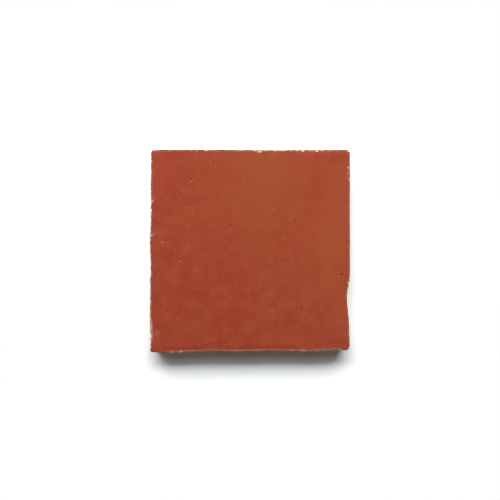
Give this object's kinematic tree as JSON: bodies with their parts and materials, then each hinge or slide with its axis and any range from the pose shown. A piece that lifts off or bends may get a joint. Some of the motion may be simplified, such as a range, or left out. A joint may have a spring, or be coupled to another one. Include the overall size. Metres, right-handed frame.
{
  "type": "zellige tile",
  "caption": "Square hand-cut terracotta zellige tile with a brick-red glazed face, a wandering chipped outline and hammered, undercut sides.",
  "frame": {"origin": "middle of the flat back, in the plane that the tile lies on", "axes": "+Z out of the glazed face, +Y towards the side that is uppermost in the picture, +X towards its right-hand side, the one with the hollow"},
  "size_m": [0.1002, 0.1015, 0.011],
  "materials": {
    "glazed_terracotta": "satin brick-red glaze over the face and arris, bare terracotta clay on the undercut sides and back"
  },
  "bodies": {
    "root": {"zellige_tile": "glazed_terracotta"}
  },
  "joints": []
}
